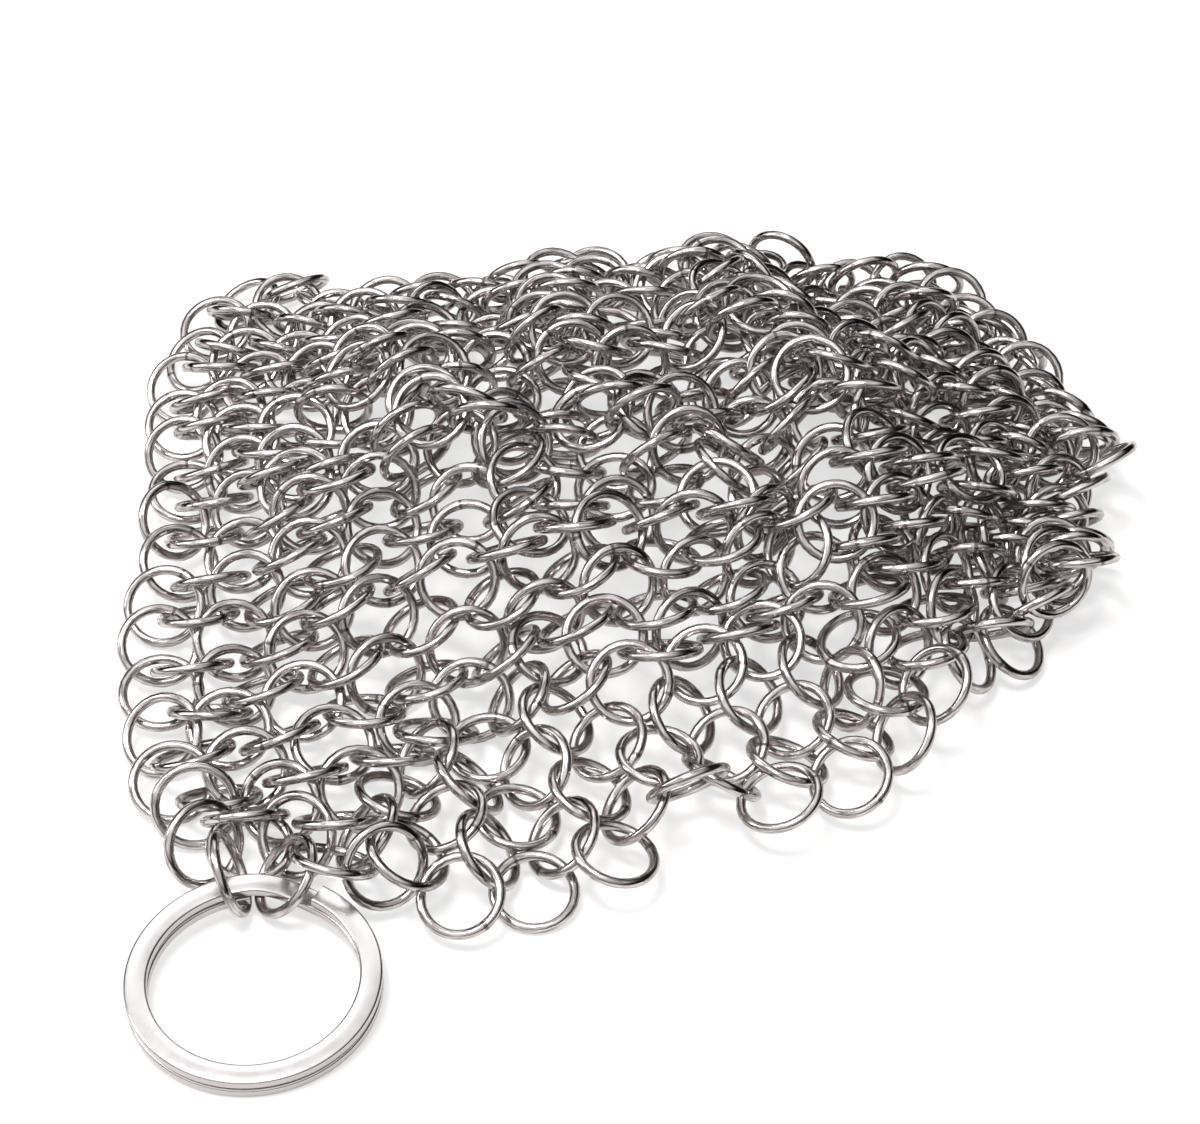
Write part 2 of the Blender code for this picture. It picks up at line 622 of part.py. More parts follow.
def steel(name, colour, roughness):
    """A polished steel material."""
    material = bpy.data.materials.new(name)
    material.use_nodes = True
    shader = material.node_tree.nodes["Principled BSDF"]
    shader.inputs["Base Color"].default_value = (*colour, 1)
    shader.inputs["Metallic"].default_value = 1
    shader.inputs["Roughness"].default_value = roughness
    return material


def add_object(name, vertices, faces, material, origin, parent):
    """A mesh object with its origin at a point, its normals made to face outwards."""
    mesh = bpy.data.meshes.new(name)
    mesh.from_pydata([Vector(v - origin) for v in vertices], [], faces)
    shape = bmesh.new()
    shape.from_mesh(mesh)
    bmesh.ops.recalc_face_normals(shape, faces=shape.faces)
    shape.to_mesh(mesh)
    shape.free()
    mesh.shade_smooth()
    mesh.set_sharp_from_angle(angle=SHARP_ANGLE)
    mesh.materials.append(material)
    thing = bpy.data.objects.new(name, mesh)
    bpy.context.scene.collection.objects.link(thing)
    thing.location = Vector(origin)
    thing.parent = parent
    return thing


def add_empty(name, place=(0, 0, 0)):
    """An empty that carries a body's pieces."""
    empty = bpy.data.objects.new(name, None)
    bpy.context.scene.collection.objects.link(empty)
    empty.location = Vector(place)
    return empty


def single_rings():
    """Names and numbers of the rings that are pieces of their own."""
    named = {f"hem_ring_{k + 1:02d}": ring_index(k, 0) for k in range(RINGS_ACROSS)}
    named.update({f"edge_ring_{k + 1:02d}": ring_index(0, row) for k, row in enumerate(EDGE_RING_ROWS)})
    return named


def patches():
    """Names of the patches, each with its ring numbers."""
    taken = set(single_rings().values())
    ends = PATCH_ROW_STARTS[1:] + (RING_ROWS,)
    named = {}
    for start, end in zip(PATCH_ROW_STARTS, ends):
        for left in range(0, RINGS_ACROSS, PATCH_COLUMNS):
            columns = range(left, min(left + PATCH_COLUMNS, RINGS_ACROSS))
            members = [ring_index(column, row) for row in range(start, end) for column in columns]
            name = f"mail_patch_{len(named) + 1:02d}"
            named[name] = [number for number in members if number not in taken]
    return named


def on_ring(rings, number, angle):
    """Points of a ring's circle at angles round it."""
    side, other = ring_axes(rings.normal[number])
    spokes = np.cos(angle)[:, None] * side + np.sin(angle)[:, None] * other
    return rings.centre[number] + rings.radius[number] * spokes


def swing_line(rings, number, links):
    """The line near a ring's first two contacts about which it swings furthest before it meets another
    wire or the ground: a point on it, its direction, and the angle."""
    centre, normal = rings.centre[number], rings.normal[number]
    radius, half = rings.radius[number], rings.half[number]
    side, other = ring_axes(normal)
    arm = contacts(rings, number, links)[:2] - centre
    at = np.arctan2(arm @ other, arm @ side)
    spread = np.linspace(-SWING_SPREAD, SWING_SPREAD, SWING_TRIES)
    start, end = (on_ring(rings, number, grid.ravel()) for grid in np.meshgrid(
        at[0] + spread, at[1] + spread))
    axis = unit(end - start)
    angles = SWING_STEP * np.arange(1, SWING_STEPS + 1)
    angles = np.concatenate([angles, -angles])
    turns = (angles[None, :, None] * axis[:, None]).reshape(-1, 3)
    point = np.repeat((start + end) / 2, len(angles), axis=0)
    centres = point + turned(centre - point, turns)
    normals = turned(np.tile(normal, (len(turns), 1)), turns)
    apart = np.linalg.norm(rings.centre - centre, axis=1)
    near = np.nonzero((apart < 2 * (radius + half) + RING_OUTSIDE / 2) & (apart > 0))[0]
    poses = Rings(np.vstack([centres, rings.centre[near]]), np.vstack([normals, rings.normal[near]]),
                  np.append(np.full(len(turns), radius), rings.radius[near]),
                  np.append(np.full(len(turns), half), rings.half[near]), None)
    pose = np.repeat(np.arange(len(turns)), len(near))
    beside = np.tile(len(turns) + np.arange(len(near)), len(turns))
    on_beside, on_pose = poses.nearest(beside, pose)
    gap = np.linalg.norm(on_beside - on_pose, axis=1) - poses.half[pose] - poses.half[beside]
    lowest = centres[:, 2] - radius * np.sqrt(np.maximum(1 - normals[:, 2] ** 2, 0)) - half
    clear = (gap.reshape(len(turns), len(near)).min(1) > SWING_CLEARANCE) & (lowest > -SWING_CLEARANCE)
    reach = np.minimum.accumulate(clear.reshape(len(axis), 2, SWING_STEPS), axis=2).sum(2)
    line, back = np.unravel_index(reach.argmax(), reach.shape)
    return ((start + end) / 2)[line], axis[line] * (1 - 2 * back), reach[line, back] * SWING_STEP


def key_ring_frame(rings):
    """Rotation and place of the split ring."""
    side, other = ring_axes(rings.normal[-1])
    axes = Matrix(np.stack([side, other, rings.normal[-1]], 1)).to_4x4()
    return Matrix.Translation(rings.centre[-1]) @ axes


def moved_to_origin(rings, shapes):
    """Shift all so that the whole stands on the ground with its middle at the origin."""
    points = np.vstack([vertices for vertices, _ in shapes.values()])
    low, high = points.min(0), points.max(0)
    shift = -np.array([(low[0] + high[0]) / 2, (low[1] + high[1]) / 2, low[2]])
    rings.centre = rings.centre + shift
    return {name: (vertices + shift, faces) for name, (vertices, faces) in shapes.items()}


def build():
    """Model every piece and place it."""
    for thing in list(bpy.data.objects):
        bpy.data.objects.remove(thing, do_unlink=True)
    rings, links = lay_heap()
    shapes = {}
    for name, number in single_rings().items():
        shapes[name] = placed_ring(rings, number, links, SINGLE_RING_FACETS, SINGLE_WIRE_SIDES)
    for name, members in patches().items():
        shapes[name] = patch_mesh(rings, members, links)
    frame = np.array(key_ring_frame(rings))
    vertices, faces = key_ring_mesh()
    shapes["key_ring"] = (vertices @ frame[:3, :3].T + frame[:3, 3], faces)
    shapes = moved_to_origin(rings, shapes)
    mail_steel = steel("mail_steel", MAIL_STEEL_COLOUR, MAIL_STEEL_ROUGHNESS)
    key_steel = steel("key_ring_steel", KEY_STEEL_COLOUR, KEY_STEEL_ROUGHNESS)
    heap = add_empty("mail_heap")
    moving = dict(single_rings(), key_ring=len(rings.centre) - 1)
    for name, (vertices, faces) in shapes.items():
        material = key_steel if name == "key_ring" else mail_steel
        origin = vertices.mean(0)
        if name in moving:
            origin, axis, reach = swing_line(rings, moving[name], links)
            print(name, "may swing", round(math.degrees(reach)), "degrees about", axis.round(3))
        add_object(name, vertices, faces, material, origin, heap)


build()
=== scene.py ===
"""Looks of a chainmail scrubber: a heap of small welded stainless rings with a flat split ring through
two rings of one corner, on a plain white ground.

Every mail ring of the CAD solids is found again from its facets and made as a round wire with its weld,
and the split ring as a flat strip with rounded edges, wound in two turns.
"""
import json
import math

import bmesh
import bpy
import numpy as np
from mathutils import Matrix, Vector


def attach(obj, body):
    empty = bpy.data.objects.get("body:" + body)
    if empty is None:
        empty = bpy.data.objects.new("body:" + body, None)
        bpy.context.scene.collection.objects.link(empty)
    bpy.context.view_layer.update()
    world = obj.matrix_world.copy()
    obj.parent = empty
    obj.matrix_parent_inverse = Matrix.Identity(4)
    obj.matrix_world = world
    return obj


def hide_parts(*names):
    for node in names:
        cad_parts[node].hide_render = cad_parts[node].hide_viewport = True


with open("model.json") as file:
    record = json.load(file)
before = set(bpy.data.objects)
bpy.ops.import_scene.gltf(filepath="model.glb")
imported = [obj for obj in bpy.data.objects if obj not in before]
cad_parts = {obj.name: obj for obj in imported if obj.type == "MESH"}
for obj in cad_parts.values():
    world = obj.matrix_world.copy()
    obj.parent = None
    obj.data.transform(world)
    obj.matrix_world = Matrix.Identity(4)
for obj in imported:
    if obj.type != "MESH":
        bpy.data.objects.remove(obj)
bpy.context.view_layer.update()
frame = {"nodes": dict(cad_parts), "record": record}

MM = 0.001

# Mail rings, as in the CAD solids
WIRE = 1.2 * MM
RING_RADIUS = 4.6 * MM
PATCH_FACETS = 8
CORNER_RADIUS = RING_RADIUS * 2 / (1 + math.cos(math.pi / PATCH_FACETS))
SECTION_SIDE = WIRE / 2 * math.sqrt(3)

# Corner points this close are one point, and ring middles this close are one ring's
GRAIN = 0.004 * MM
ONE_RING = 5 * GRAIN

# Round wire: points round the ring and round the wire, before one subdivision
RING_STEPS = 18
WIRE_STEPS = 6
WELD_CROWDING = 0.45
WELD_RISE_SHARE = 0.07
WELD_LENGTH = 0.55 * MM
OVAL_SHARE = 0.006

# One subdivision draws the corners of a round outline in by this share of their arc's height
DRAWN_IN_SHARE = 1 / 3

# Wires that lie too close for round wire are eased apart
LEAST_GAP = 0.1 * MM
EASING_POINTS = 96
EASING_ROUNDS = 12

# Split ring
KEY_RADIUS = 12.75 * MM
KEY_STRIP_WIDTH = 2.5 * MM
KEY_STRIP_THICKNESS = 1.15 * MM
KEY_TURN_GAP = 0.35 * MM
KEY_RAMP = math.radians(36)
KEY_RAMP_PLACE = math.radians(169)
KEY_EDGE_ROUNDING = 0.28 * MM
KEY_STEPS = 220
KEY_CORNER_STEPS = 4
KEY_SHARP_ANGLE = math.radians(60)

# Drawn wire's patterns, in wire radii across and in sixths of a ring along: lines 0.07 mm wide and 14 mm
# long, and spots of about 0.3 by 2 mm
RING_SIXTHS = 6.0
LOT_STEP = 57.0
LINE_SCALES = (9.0, 9.0, 0.35)
SPOT_SCALE = 2.2
SEAM_SHARES = (0.004, 0.01)
SEAM_TONE = "#6e6764"
SPOT_TONES = ("#716b69", "#c6c0be")
SEAM_DEPTH_SHARE = 0.4
RELIEF_HEIGHT = 0.04 * MM
RELIEF_STRENGTH = 0.35
WIRE_ROUGHNESS = (0.1, 0.24)

# Plated strip, with hairlines about 1 mm apart, and painted shade: its rounded edges are coloured greyer
# than its faces
FACE_TONE = "#d2cecd"
EDGE_PAINTED_SHADE_TONE = "#b0abab"
HAIRS_PER_METRE = 900.0
STRIP_ROUGHNESS = (0.2, 0.26)

# Where a noise pattern is taken as fully off and fully on
NOISE_ENDS = (0.3, 0.7)
SPOT_ENDS = (0.3, 0.62)

# Ground and room: how much of the plain white the camera and a mirror see, and where the room turns bright
CAMERA_WHITE_SHARE = 0.62
MIRROR_WHITE_SHARE = 0.25
PAPER_TONE = "#e8e6e3"
GROUND_REACH = 3.0
BRIGHT_WAY = (-0.2, -0.3, 0.93)
DARK_UP_TO = 0.42
BRIGHT_FROM = 0.78
ROOM_TONES = ("#0d0b0a", "#fbfafd")
ROOM_STRENGTH = 1.3

# Lamps that face the heap: place, width and depth in metres, and watts
SOFTBOXES = {
    "top_softbox": ((-0.12, -0.12, 0.57), (0.2, 0.12), 3.6),
    "back_softbox": ((-0.05, 0.4, 0.46), (0.5, 0.26), 0.65),
    "left_softbox": ((-0.5, 0.0, 0.35), (0.12, 0.4), 1.3),
}

# Camera at the photograph's view
LENS = 90.0
SENSOR = 36.0
VIEW_DOWN = math.radians(41.5)
VIEW_DISTANCE = 380 * MM
VIEW_TARGET = (-3.54 * MM, 14.73 * MM, 0.0)

chance = np.random.default_rng(11)


def unit(vectors):
    """The vectors at length one."""
    return vectors / np.linalg.norm(vectors, axis=-1, keepdims=True)


def linear(hex_colour):
    """A linear colour from an sRGB hex value."""
    parts = np.array([int(hex_colour[k:k + 2], 16) for k in (1, 3, 5)]) / 255
    value = np.where(parts <= 0.04045, parts / 12.92, ((parts + 0.055) / 1.055) ** 2.4)
    return (*value.tolist(), 1.0)


def node_points(node):
    """The separate corner points of a CAD node."""
    copy = bmesh.new()
    copy.from_mesh(node.data)
    bmesh.ops.remove_doubles(copy, verts=copy.verts, dist=GRAIN)
    mesh = bpy.data.meshes.new("corners")
    copy.to_mesh(mesh)
    copy.free()
    points = np.empty(len(mesh.vertices) * 3)
    mesh.vertices.foreach_get("co", points)
    bpy.data.meshes.remove(mesh)
    return points.reshape(-1, 3)


def patch_rings(points):
    """Middles and axes of a patch's rings. Each wire section is an equal-sided triangle whose outer corner
    points away from the ring's middle; the eight sections of one ring agree on that middle."""
    apart = np.linalg.norm(points[:, None] - points[None], axis=-1)
    side = np.abs(apart - SECTION_SIDE) < GRAIN
    a, b, c = np.nonzero(side[:, :, None] & side[None] & side[:, None])
    kept = b < c
    outer, one, other = points[a[kept]], points[b[kept]], points[c[kept]]
    outward = unit(outer - (one + other) / 2)
    middle = (outer + one + other) / 3 - CORNER_RADIUS * outward
    axis = unit(one - other)
    agree = np.linalg.norm(middle[:, None] - middle[None], axis=-1) < ONE_RING
    first = agree.argmax(1)
    shared = (agree.sum(1) == PATCH_FACETS) & (first == np.arange(len(first)))
    middles = np.array([middle[row].mean(0) for row in agree[shared]])
    axes = np.array([np.linalg.svd(axis[row])[2][0] for row in agree[shared]])
    return middles, axes


def lone_ring(points):
    """Middle and axis of a single ring: the mean of its corners, and the direction they spread least in."""
    middle = points.mean(0)
    return middle[None], np.linalg.svd(points - middle)[2][2][None]


def cross_axes(axes):
    """Two directions square to each axis and to each other."""
    up = np.where(np.abs(axes[:, [2]]) < 0.9, [[0, 0, 1.0]], [[1.0, 0, 0]])
    side = unit(np.cross(up, axes))
    return side, np.cross(axes, side)


def ease_apart(middles, axes):
    """The rings' middles, moved by a tenth of a millimetre or so, that no wire may cut another. Points round
    one ring are compared with the nearest points of the other's circle, which are its middle +
    R unit(v - (v . axis) axis), and a pair that lies too close parts along its shortest line."""
    side, other = cross_axes(axes)
    turn = 2 * math.pi * np.arange(EASING_POINTS)[None, :, None] / EASING_POINTS
    spokes = RING_RADIUS * (np.cos(turn) * side[:, None] + np.sin(turn) * other[:, None])
    middles = middles.copy()
    for _ in range(EASING_ROUNDS):
        apart = np.linalg.norm(middles[:, None] - middles[None], axis=-1)
        one, two = np.nonzero(np.triu(apart < 2 * RING_RADIUS + WIRE + LEAST_GAP, 1))
        away = middles[one][:, None] + spokes[one] - middles[two][:, None]
        flat = away - (away * axes[two][:, None]).sum(-1, keepdims=True) * axes[two][:, None]
        line = away - RING_RADIUS * unit(flat)
        nearest = np.arange(len(one)), np.linalg.norm(line, axis=-1).argmin(1)
        line = line[nearest]
        lack = np.maximum(WIRE + LEAST_GAP - np.linalg.norm(line, axis=-1), 0)
        push = unit(line) * lack[:, None] / 2
        np.add.at(middles, one, push)
        np.add.at(middles, two, -push)
    return middles


def grid_quads(rows, columns, row_wraps):
    """Quads of a grid whose columns wrap round, and whose rows wrap round if asked."""
    row, column = np.meshgrid(np.arange(rows if row_wraps else rows - 1), np.arange(columns), indexing="ij")
    ahead, beside = (row + 1) % rows, (column + 1) % columns
    quads = np.stack([row * columns + column, ahead * columns + column, ahead * columns + beside,
                      row * columns + beside], -1).reshape(-1, 4)
    return quads, row.ravel(), column.ravel()


def wire_rings(name, middles, axes):
    """Round wire rings. A point is middle + (R + r cos v)(cos u side + sin u other) + r sin v axis. The wire
    radius r swells a little at the weld, at u = 0, and where the points lie closer together. The ring
    radius R differs slightly round each ring, as R (1 + oval cos 2 (u + a turn of the ring's own))."""
    count = len(middles)
    share = np.arange(RING_STEPS) / RING_STEPS
    round_ring = 2 * math.pi * (share - WELD_CROWDING * np.sin(2 * math.pi * share) / (2 * math.pi))
    round_wire = 2 * math.pi * np.arange(WIRE_STEPS) / WIRE_STEPS
    from_weld = np.abs(np.angle(np.exp(1j * round_ring))) * RING_RADIUS
    swell = 1 + WELD_RISE_SHARE * np.exp(-(from_weld / WELD_LENGTH) ** 2)
    shrink = 1 - (1 - math.cos(2 * math.pi / WIRE_STEPS)) * DRAWN_IN_SHARE
    radius = WIRE / 2 / shrink * swell[None, :, None] * np.ones((count, 1, WIRE_STEPS))
    spin = chance.uniform(0, 2 * math.pi, count)[:, None, None]
    turn = round_ring[None, :, None] + spin
    along_axis = radius * np.sin(round_wire)
    oval = OVAL_SHARE * np.cos(2 * (turn + chance.uniform(0, math.pi, count)[:, None, None]))
    ring_radius = RING_RADIUS * (1 + (1 - math.cos(2 * math.pi / RING_STEPS)) * DRAWN_IN_SHARE + oval)
    across = ring_radius + radius * np.cos(round_wire)
    side, other = cross_axes(axes)
    points = (middles[:, None, None] + (across * np.cos(turn))[..., None] * side[:, None, None]
              + (across * np.sin(turn))[..., None] * other[:, None, None]
              + along_axis[..., None] * axes[:, None, None])
    quads, row, column = grid_quads(RING_STEPS, WIRE_STEPS, True)
    size = RING_STEPS * WIRE_STEPS
    faces = (quads[None] + size * np.arange(count)[:, None, None]).reshape(-1, 4)
    ends = np.append(round_ring, 2 * math.pi) / (2 * math.pi)
    u = np.stack([ends[row], ends[row + 1], ends[row + 1], ends[row]], -1)
    v = np.stack([column, column, column + 1, column + 1], -1) / WIRE_STEPS
    uv = np.tile(np.stack([u, v], -1).reshape(-1, 2), (count, 1))
    mesh = bpy.data.meshes.new(name)
    mesh.from_pydata(points.reshape(-1, 3).tolist(), [], faces.tolist())
    mesh.uv_layers.new(name="wire").data.foreach_set("uv", uv.ravel())
    rounding = np.stack([np.cos(round_wire), np.sin(round_wire)], -1)
    around = np.tile(rounding, (count * RING_STEPS, 1))
    lot = np.repeat(chance.uniform(0, 1, count), size)
    place = mesh.attributes.new("wire_round", "FLOAT_VECTOR", "POINT")
    place.data.foreach_set("vector", np.c_[around, lot].ravel())
    mesh.shade_smooth()
    piece = bpy.data.objects.new(name, mesh)
    bpy.context.scene.collection.objects.link(piece)
    rounding_off = piece.modifiers.new("round_wire", "SUBSURF")
    rounding_off.levels = 1
    rounding_off.render_levels = 1
    return piece


def split_ring(name, points):
    """The split ring. Its strip section, a rectangle with rounded corners, is carried round two turns; its
    height climbs smoothly from the lower turn to the upper one within the ramp."""
    middle = points.mean(0)
    axis = np.linalg.svd(points - middle)[2][2]
    axis = axis * np.sign(axis[2])
    side = unit(np.cross([1.0, 0, 0], axis))
    other = np.cross(axis, side)
    flat = np.stack([(points - middle) @ side, (points - middle) @ other], -1)
    outer = (np.linalg.norm(flat, axis=1) > KEY_RADIUS).astype(float)
    fit = np.linalg.lstsq(np.c_[2 * flat, outer, 1 - outer], (flat ** 2).sum(1), rcond=None)[0]
    middle = middle + fit[0] * side + fit[1] * other
    start = KEY_RAMP / 2
    angle = np.linspace(start, 4 * math.pi - start, KEY_STEPS)
    climb = np.clip((angle - 2 * math.pi + KEY_RAMP / 2) / KEY_RAMP, 0, 1)
    climb = climb * climb * (3 - 2 * climb)
    height = (KEY_STRIP_THICKNESS + KEY_TURN_GAP) * (climb - 0.5)
    corner = np.linspace(0, math.pi / 2, KEY_CORNER_STEPS)
    quarter = np.stack([np.cos(corner), np.sin(corner)], -1) * KEY_EDGE_ROUNDING
    box = np.array([KEY_STRIP_WIDTH, KEY_STRIP_THICKNESS]) / 2 - KEY_EDGE_ROUNDING
    section = np.concatenate([
        box * [1, 1] + quarter, box * [-1, 1] + quarter[::-1] * [-1, 1],
        box * [-1, -1] - quarter, box * [1, -1] + quarter[::-1] * [1, -1]])
    reach = KEY_RADIUS + section[None, :, 0]
    rise = height[:, None] + section[None, :, 1]
    turn = angle[:, None] + KEY_RAMP_PLACE
    grid = (middle + (reach * np.cos(turn))[..., None] * side
            + (reach * np.sin(turn))[..., None] * other + rise[..., None] * axis)
    columns = len(section)
    quads, row, column = grid_quads(KEY_STEPS, columns, False)
    caps = [list(range(columns))[::-1], [(KEY_STEPS - 1) * columns + k for k in range(columns)]]
    mesh = bpy.data.meshes.new(name)
    mesh.from_pydata(grid.reshape(-1, 3).tolist(), [], quads[:, ::-1].tolist() + caps)
    copy = bmesh.new()
    copy.from_mesh(mesh)
    bmesh.ops.recalc_face_normals(copy, faces=copy.faces)
    copy.to_mesh(mesh)
    copy.free()
    mesh.shade_smooth()
    mesh.set_sharp_from_angle(angle=KEY_SHARP_ANGLE)
    # Painted shade: how far each point of the section lies into the rounded edge, which colours the edges
    # greyer than the faces
    edge = np.clip((np.abs(section[:, 0]) - box[0]) / KEY_EDGE_ROUNDING, 0, 1)
    mesh.attributes.new("strip_edge_painted_shade", "FLOAT", "POINT").data.foreach_set("value", np.tile(edge, KEY_STEPS))
    piece = bpy.data.objects.new(name, mesh)
    bpy.context.scene.collection.objects.link(piece)
    return piece


def add(tree, kind, links=None, **settings):
    """A node with its settings and the sockets that feed it."""
    node = tree.nodes.new(kind)
    for key, value in settings.items():
        if key in node.inputs:
            node.inputs[key].default_value = value
        else:
            setattr(node, key, value)
    for key, source in (links or {}).items():
        tree.links.new(source, node.inputs[key])
    return node


def new_material(name):
    """An empty node material and its tree."""
    material = bpy.data.materials.new(name)
    material.use_nodes = True
    material.node_tree.nodes.clear()
    return material, material.node_tree


def drawn_stainless():
    """Austenitic stainless wire, drawn through a die and tumbled bright. The die leaves fine lines along the
    wire, the tumbling small dull spots, and the weld a narrow darker seam."""
    material, tree = new_material("drawn_stainless_wire")
    uv = add(tree, "ShaderNodeUVMap", uv_map="wire").outputs[0]
    along = add(tree, "ShaderNodeSeparateXYZ", {0: uv}).outputs[0]
    wire_round = add(tree, "ShaderNodeAttribute", attribute_name="wire_round").outputs["Vector"]
    parts = add(tree, "ShaderNodeSeparateXYZ", {0: wire_round})
    lot = parts.outputs[2]
    length = add(tree, "ShaderNodeMath", {0: along}, operation="MULTIPLY")
    length.inputs[1].default_value = RING_SIXTHS
    shifted = add(tree, "ShaderNodeMath", {0: lot, 2: length.outputs[0]}, operation="MULTIPLY_ADD")
    shifted.inputs[1].default_value = LOT_STEP
    place = add(tree, "ShaderNodeCombineXYZ", {0: parts.outputs[0], 1: parts.outputs[1],
                                              2: shifted.outputs[0]}).outputs[0]
    lines_place = add(tree, "ShaderNodeMapping", {0: place})
    lines_place.inputs["Scale"].default_value = LINE_SCALES
    lines = add(tree, "ShaderNodeTexNoise", {"Vector": lines_place.outputs[0]}, Scale=1.0, Detail=2.0)
    spots = add(tree, "ShaderNodeTexNoise", {"Vector": place}, Scale=SPOT_SCALE, Detail=4.0)
    off_weld = add(tree, "ShaderNodeMath", {0: along}, operation="PINGPONG")
    off_weld.inputs[1].default_value = 0.5
    seam = add(tree, "ShaderNodeMapRange", {0: off_weld.outputs[0]}, interpolation_type="SMOOTHSTEP")
    seam.inputs["From Min"].default_value, seam.inputs["From Max"].default_value = SEAM_SHARES
    tone = add(tree, "ShaderNodeValToRGB", {0: spots.outputs[0]})
    tone.color_ramp.elements[0].position, tone.color_ramp.elements[1].position = SPOT_ENDS
    tone.color_ramp.elements[0].color = linear(SPOT_TONES[0])
    tone.color_ramp.elements[1].color = linear(SPOT_TONES[1])
    colour = add(tree, "ShaderNodeMix", {0: seam.outputs[0]}, data_type="RGBA")
    colour.inputs[6].default_value = linear(SEAM_TONE)
    tree.links.new(tone.outputs[0], colour.inputs[7])
    rough = add(tree, "ShaderNodeMapRange", {0: lines.outputs[0]})
    rough.inputs["From Min"].default_value, rough.inputs["From Max"].default_value = NOISE_ENDS
    rough.inputs["To Min"].default_value, rough.inputs["To Max"].default_value = WIRE_ROUGHNESS
    relief = add(tree, "ShaderNodeMath", {0: seam.outputs[0], 2: lines.outputs[0]}, operation="MULTIPLY_ADD")
    relief.inputs[1].default_value = SEAM_DEPTH_SHARE
    bump = add(tree, "ShaderNodeBump", {"Height": relief.outputs[0]}, Strength=RELIEF_STRENGTH,
               Distance=RELIEF_HEIGHT)
    shader = add(tree, "ShaderNodeBsdfPrincipled", {
        "Base Color": colour.outputs[2], "Normal": bump.outputs[0], "Roughness": rough.outputs[0],
    }, Metallic=1.0)
    add(tree, "ShaderNodeOutputMaterial", {0: shader.outputs[0]})
    return material


def polished_strip():
    """Flat spring steel strip, nickel plated and polished: almost a mirror, with faint hairlines. Its
    rounded edges carry painted shade: they are coloured greyer than the faces, standing in for the darker
    reflection they show."""
    material, tree = new_material("plated_spring_steel")
    edge = add(tree, "ShaderNodeAttribute", attribute_name="strip_edge_painted_shade").outputs["Fac"]
    # Painted shade: the rounded edges take the greyer colour, the faces the pale one
    colour = add(tree, "ShaderNodeMix", {0: edge}, data_type="RGBA")
    colour.inputs[6].default_value = linear(FACE_TONE)
    colour.inputs[7].default_value = linear(EDGE_PAINTED_SHADE_TONE)
    place = add(tree, "ShaderNodeTexCoord").outputs["Object"]
    hair = add(tree, "ShaderNodeTexNoise", {"Vector": place}, Scale=HAIRS_PER_METRE, Detail=3.0)
    rough = add(tree, "ShaderNodeMapRange", {0: hair.outputs[0]})
    rough.inputs["From Min"].default_value, rough.inputs["From Max"].default_value = NOISE_ENDS
    rough.inputs["To Min"].default_value, rough.inputs["To Max"].default_value = STRIP_ROUGHNESS
    shader = add(tree, "ShaderNodeBsdfPrincipled", {
        "Base Color": colour.outputs[2], "Roughness": rough.outputs[0]}, Metallic=1.0)
    add(tree, "ShaderNodeOutputMaterial", {0: shader.outputs[0]})
    return material


def white_ground():
    """Matt white paper, mostly plain white to the camera and partly so to a mirror, so that the object's
    shadow stays pale on it."""
    material, tree = new_material("white_paper")
    path = add(tree, "ShaderNodeLightPath")
    seen = add(tree, "ShaderNodeMath", {0: path.outputs["Is Camera Ray"]}, operation="MULTIPLY")
    seen.inputs[1].default_value = CAMERA_WHITE_SHARE
    share = add(tree, "ShaderNodeMath", {0: path.outputs["Is Glossy Ray"], 2: seen.outputs[0]},
                operation="MULTIPLY_ADD")
    share.inputs[1].default_value = MIRROR_WHITE_SHARE
    paper = add(tree, "ShaderNodeBsdfDiffuse", Color=linear(PAPER_TONE))
    glow = add(tree, "ShaderNodeEmission", Strength=1.0)
    mixed = add(tree, "ShaderNodeMixShader", {0: share.outputs[0], 1: paper.outputs[0], 2: glow.outputs[0]})
    add(tree, "ShaderNodeOutputMaterial", {0: mixed.outputs[0]})
    return material


def surroundings():
    """A room that is bright above and behind the camera and dark behind the object, and plain white where
    the camera sees past the ground."""
    world = bpy.data.worlds.new("studio")
    bpy.context.scene.world = world
    world.use_nodes = True
    tree = world.node_tree
    tree.nodes.clear()
    path = add(tree, "ShaderNodeLightPath")
    way = add(tree, "ShaderNodeTexCoord").outputs["Generated"]
    facing = add(tree, "ShaderNodeVectorMath", {0: way}, operation="DOT_PRODUCT")
    facing.inputs[1].default_value = BRIGHT_WAY
    tone = add(tree, "ShaderNodeValToRGB", {0: facing.outputs["Value"]})
    tone.color_ramp.elements[0].position = DARK_UP_TO
    tone.color_ramp.elements[0].color = linear(ROOM_TONES[0])
    tone.color_ramp.elements[1].position = BRIGHT_FROM
    tone.color_ramp.elements[1].color = linear(ROOM_TONES[1])
    room = add(tree, "ShaderNodeBackground", {0: tone.outputs[0]}, Strength=ROOM_STRENGTH)
    white = add(tree, "ShaderNodeBackground", Color=(1, 1, 1, 1), Strength=1.0)
    mixed = add(tree, "ShaderNodeMixShader", {0: path.outputs["Is Camera Ray"], 1: room.outputs[0],
                                             2: white.outputs[0]})
    add(tree, "ShaderNodeOutputWorld", {0: mixed.outputs[0]})


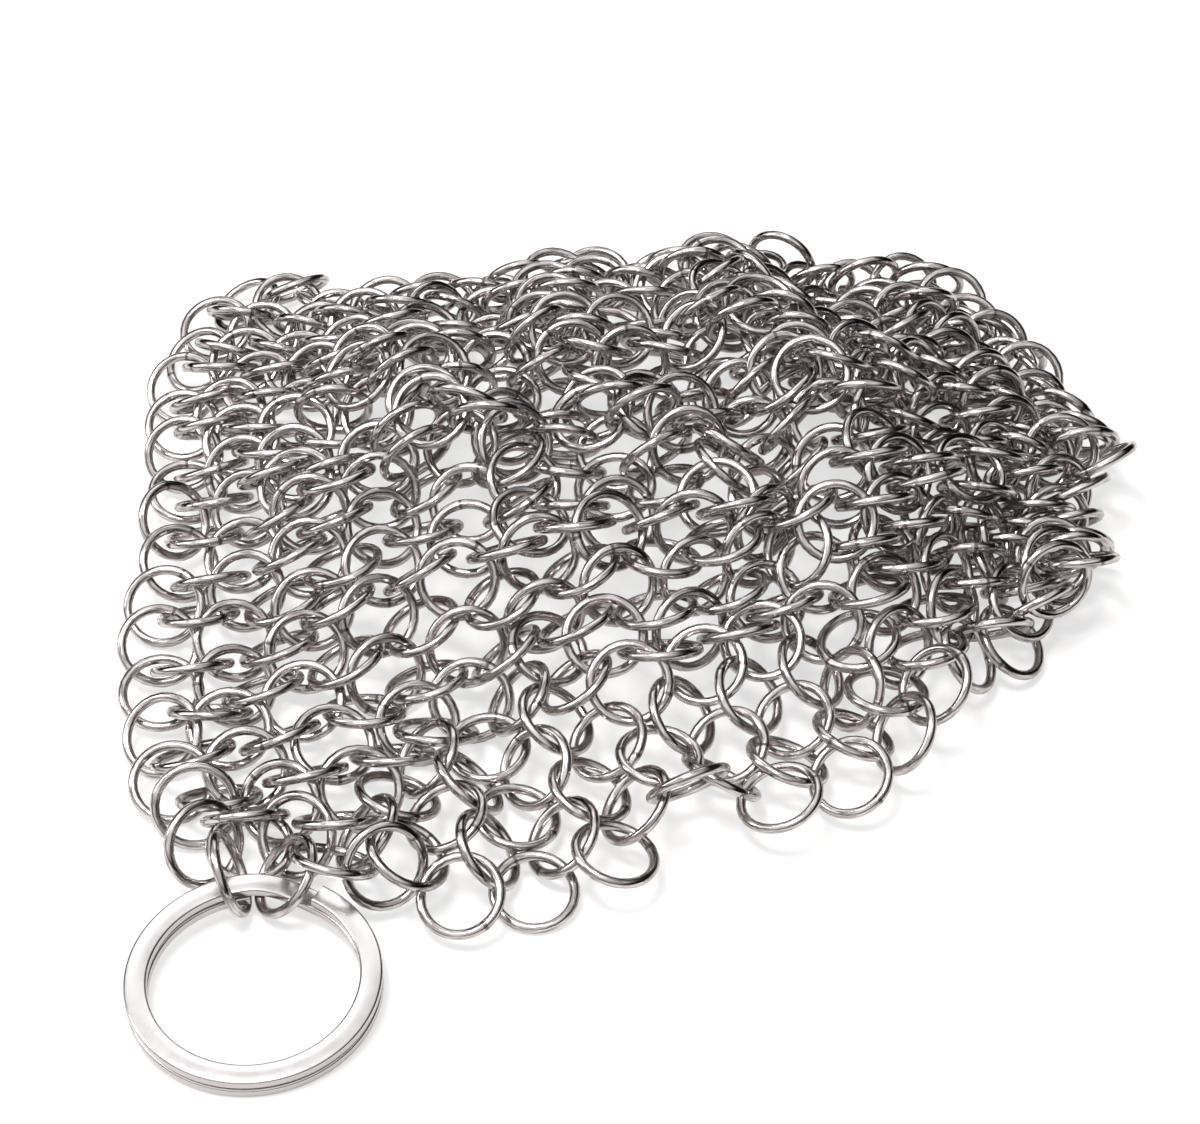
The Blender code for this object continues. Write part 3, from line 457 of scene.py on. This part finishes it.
def softbox(name, place, size, watts):
    """A rectangular lamp that faces the heap's middle."""
    lamp = bpy.data.lights.new(name, "AREA")
    lamp.shape = "RECTANGLE"
    lamp.size, lamp.size_y = size
    lamp.energy = watts
    thing = bpy.data.objects.new(name, lamp)
    bpy.context.scene.collection.objects.link(thing)
    thing.location = place
    thing.rotation_euler = (-Vector(place)).to_track_quat("-Z", "Y").to_euler()


def photo_camera():
    """The camera at the photograph's angle, looking down on the heap from the hem's side."""
    camera = bpy.data.cameras.new("photo_camera")
    camera.lens = LENS
    camera.sensor_width = SENSOR
    camera.clip_start = 0.01
    thing = bpy.data.objects.new("photo_camera", camera)
    bpy.context.scene.collection.objects.link(thing)
    target = Vector(VIEW_TARGET)
    thing.location = target + VIEW_DISTANCE * Vector((0, -math.cos(VIEW_DOWN), math.sin(VIEW_DOWN)))
    thing.rotation_euler = (target - thing.location).to_track_quat("-Z", "Y").to_euler()
    bpy.context.scene.camera = thing


def ground():
    """The paper that the heap lies on."""
    reach = GROUND_REACH
    mesh = bpy.data.meshes.new("ground")
    mesh.from_pydata([(-reach, -reach, 0), (reach, -reach, 0), (reach, reach, 0), (-reach, reach, 0)], [],
                     [(0, 1, 2, 3)])
    mesh.materials.append(white_ground())
    thing = bpy.data.objects.new("ground", mesh)
    bpy.context.scene.collection.objects.link(thing)


def dress():
    """A piece for every CAD node, riding on the body that the node belongs to."""
    wire, strip = drawn_stainless(), polished_strip()
    bodies = frame["record"]["behaviour"]["bodies"]
    riders = {name: body for body, members in bodies.items() for name in members}
    corners = {name: node_points(frame["nodes"][name]) for name in riders}
    rings = {name: patch_rings(points) if "patch" in name else lone_ring(points)
             for name, points in corners.items() if name != "key_ring"}
    middles, axes = (np.concatenate(part) for part in zip(*rings.values()))
    print("rings found", len(middles))
    ends = np.cumsum([len(part[0]) for part in rings.values()])
    eased = dict(zip(rings, np.split(ease_apart(middles, axes), ends[:-1])))
    for name, body in riders.items():
        if name == "key_ring":
            piece = split_ring("split_ring", corners[name])
            piece.data.materials.append(strip)
        else:
            piece = wire_rings(f"wire_{name}", eased[name], rings[name][1])
            piece.data.materials.append(wire)
        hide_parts(name)
        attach(piece, body)


dress()
ground()
surroundings()
for lamp, (place, size, watts) in SOFTBOXES.items():
    softbox(lamp, place, size, watts)
photo_camera()
bpy.context.scene.view_settings.view_transform = "Standard"
